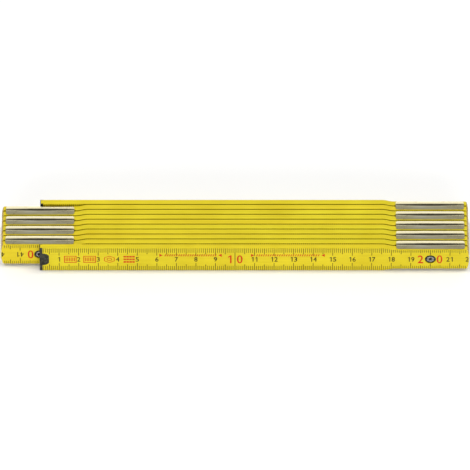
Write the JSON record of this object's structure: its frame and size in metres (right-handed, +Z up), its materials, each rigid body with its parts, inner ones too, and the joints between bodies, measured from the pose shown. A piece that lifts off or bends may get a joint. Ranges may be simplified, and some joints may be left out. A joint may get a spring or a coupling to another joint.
{
  "type": "folding rule",
  "caption": "Two-metre wooden folding rule, folded: yellow laths joined end over end by riveted spring-plate joints, with steel caps on the free ends.",
  "frame": {"origin": "under the middle of the folded rule, on the surface it lies on", "axes": "+X along the laths, from the zero end of the scale towards its 20 cm mark; +Y through the bundle, from the first lath to the last; +Z up, across the laths' width"},
  "size_m": [0.2396, 0.0356, 0.016],
  "materials": {
    "yellow_lacquered_wood": "satin yellow lacquer, bare end grain",
    "zinc_plated_spring_steel": "bright zinc plating",
    "blackened_steel": "dark burnished"
  },
  "bodies": {
    "segment_01": {"lath_01": "yellow_lacquered_wood", "end_cap_first": "blackened_steel", "end_cap_rivet_first": "blackened_steel", "spring_plate_front_01": "zinc_plated_spring_steel", "washer_front_01": "blackened_steel"},
    "segment_02": {"lath_02": "yellow_lacquered_wood", "spring_plate_front_02": "zinc_plated_spring_steel", "washer_front_02": "blackened_steel", "spring_plate_back_01": "zinc_plated_spring_steel", "rivet_01": "zinc_plated_spring_steel", "washer_back_01": "blackened_steel"},
    "segment_03": {"lath_03": "yellow_lacquered_wood", "spring_plate_front_03": "zinc_plated_spring_steel", "washer_front_03": "blackened_steel", "spring_plate_back_02": "zinc_plated_spring_steel", "rivet_02": "zinc_plated_spring_steel", "washer_back_02": "blackened_steel"},
    "segment_04": {"lath_04": "yellow_lacquered_wood", "spring_plate_front_04": "zinc_plated_spring_steel", "washer_front_04": "blackened_steel", "spring_plate_back_03": "zinc_plated_spring_steel", "rivet_03": "zinc_plated_spring_steel", "washer_back_03": "blackened_steel"},
    "segment_05": {"lath_05": "yellow_lacquered_wood", "spring_plate_front_05": "zinc_plated_spring_steel", "washer_front_05": "blackened_steel", "spring_plate_back_04": "zinc_plated_spring_steel", "rivet_04": "zinc_plated_spring_steel", "washer_back_04": "blackened_steel"},
    "segment_06": {"lath_06": "yellow_lacquered_wood", "spring_plate_front_06": "zinc_plated_spring_steel", "washer_front_06": "blackened_steel", "spring_plate_back_05": "zinc_plated_spring_steel", "rivet_05": "zinc_plated_spring_steel", "washer_back_05": "blackened_steel"},
    "segment_07": {"lath_07": "yellow_lacquered_wood", "spring_plate_front_07": "zinc_plated_spring_steel", "washer_front_07": "blackened_steel", "spring_plate_back_06": "zinc_plated_spring_steel", "rivet_06": "zinc_plated_spring_steel", "washer_back_06": "blackened_steel"},
    "segment_08": {"lath_08": "yellow_lacquered_wood", "spring_plate_front_08": "zinc_plated_spring_steel", "washer_front_08": "blackened_steel", "spring_plate_back_07": "zinc_plated_spring_steel", "rivet_07": "zinc_plated_spring_steel", "washer_back_07": "blackened_steel"},
    "segment_09": {"lath_09": "yellow_lacquered_wood", "spring_plate_front_09": "zinc_plated_spring_steel", "washer_front_09": "blackened_steel", "spring_plate_back_08": "zinc_plated_spring_steel", "rivet_08": "zinc_plated_spring_steel", "washer_back_08": "blackened_steel"},
    "segment_10": {"lath_10": "yellow_lacquered_wood", "end_cap_last": "blackened_steel", "end_cap_rivet_last": "blackened_steel", "spring_plate_back_09": "zinc_plated_spring_steel", "rivet_09": "zinc_plated_spring_steel", "washer_back_09": "blackened_steel"}
  },
  "joints": [
    {"name": "joint_09", "type": "hinge", "parent": "segment_10", "child": "segment_09", "pos_m": [0.1, 0.01432, 0.008], "axis": [0, 1, 0], "range_deg": [-180, 180]},
    {"name": "joint_08", "type": "hinge", "parent": "segment_09", "child": "segment_08", "pos_m": [-0.1, 0.01074, 0.008], "axis": [0, 1, 0], "range_deg": [-180, 180]},
    {"name": "joint_07", "type": "hinge", "parent": "segment_08", "child": "segment_07", "pos_m": [0.1, 0.00716, 0.008], "axis": [0, 1, 0], "range_deg": [-180, 180]},
    {"name": "joint_06", "type": "hinge", "parent": "segment_07", "child": "segment_06", "pos_m": [-0.1, 0.00358, 0.008], "axis": [0, 1, 0], "range_deg": [-180, 180]},
    {"name": "joint_05", "type": "hinge", "parent": "segment_06", "child": "segment_05", "pos_m": [0.1, 0, 0.008], "axis": [0, 1, 0], "range_deg": [-180, 180]},
    {"name": "joint_04", "type": "hinge", "parent": "segment_05", "child": "segment_04", "pos_m": [-0.1, -0.00358, 0.008], "axis": [0, 1, 0], "range_deg": [-180, 180]},
    {"name": "joint_03", "type": "hinge", "parent": "segment_04", "child": "segment_03", "pos_m": [0.1, -0.00716, 0.008], "axis": [0, 1, 0], "range_deg": [-180, 180]},
    {"name": "joint_02", "type": "hinge", "parent": "segment_03", "child": "segment_02", "pos_m": [-0.1, -0.01074, 0.008], "axis": [0, 1, 0], "range_deg": [-180, 180]},
    {"name": "joint_01", "type": "hinge", "parent": "segment_02", "child": "segment_01", "pos_m": [0.1, -0.01432, 0.008], "axis": [0, 1, 0], "range_deg": [-180, 180]}
  ]
}
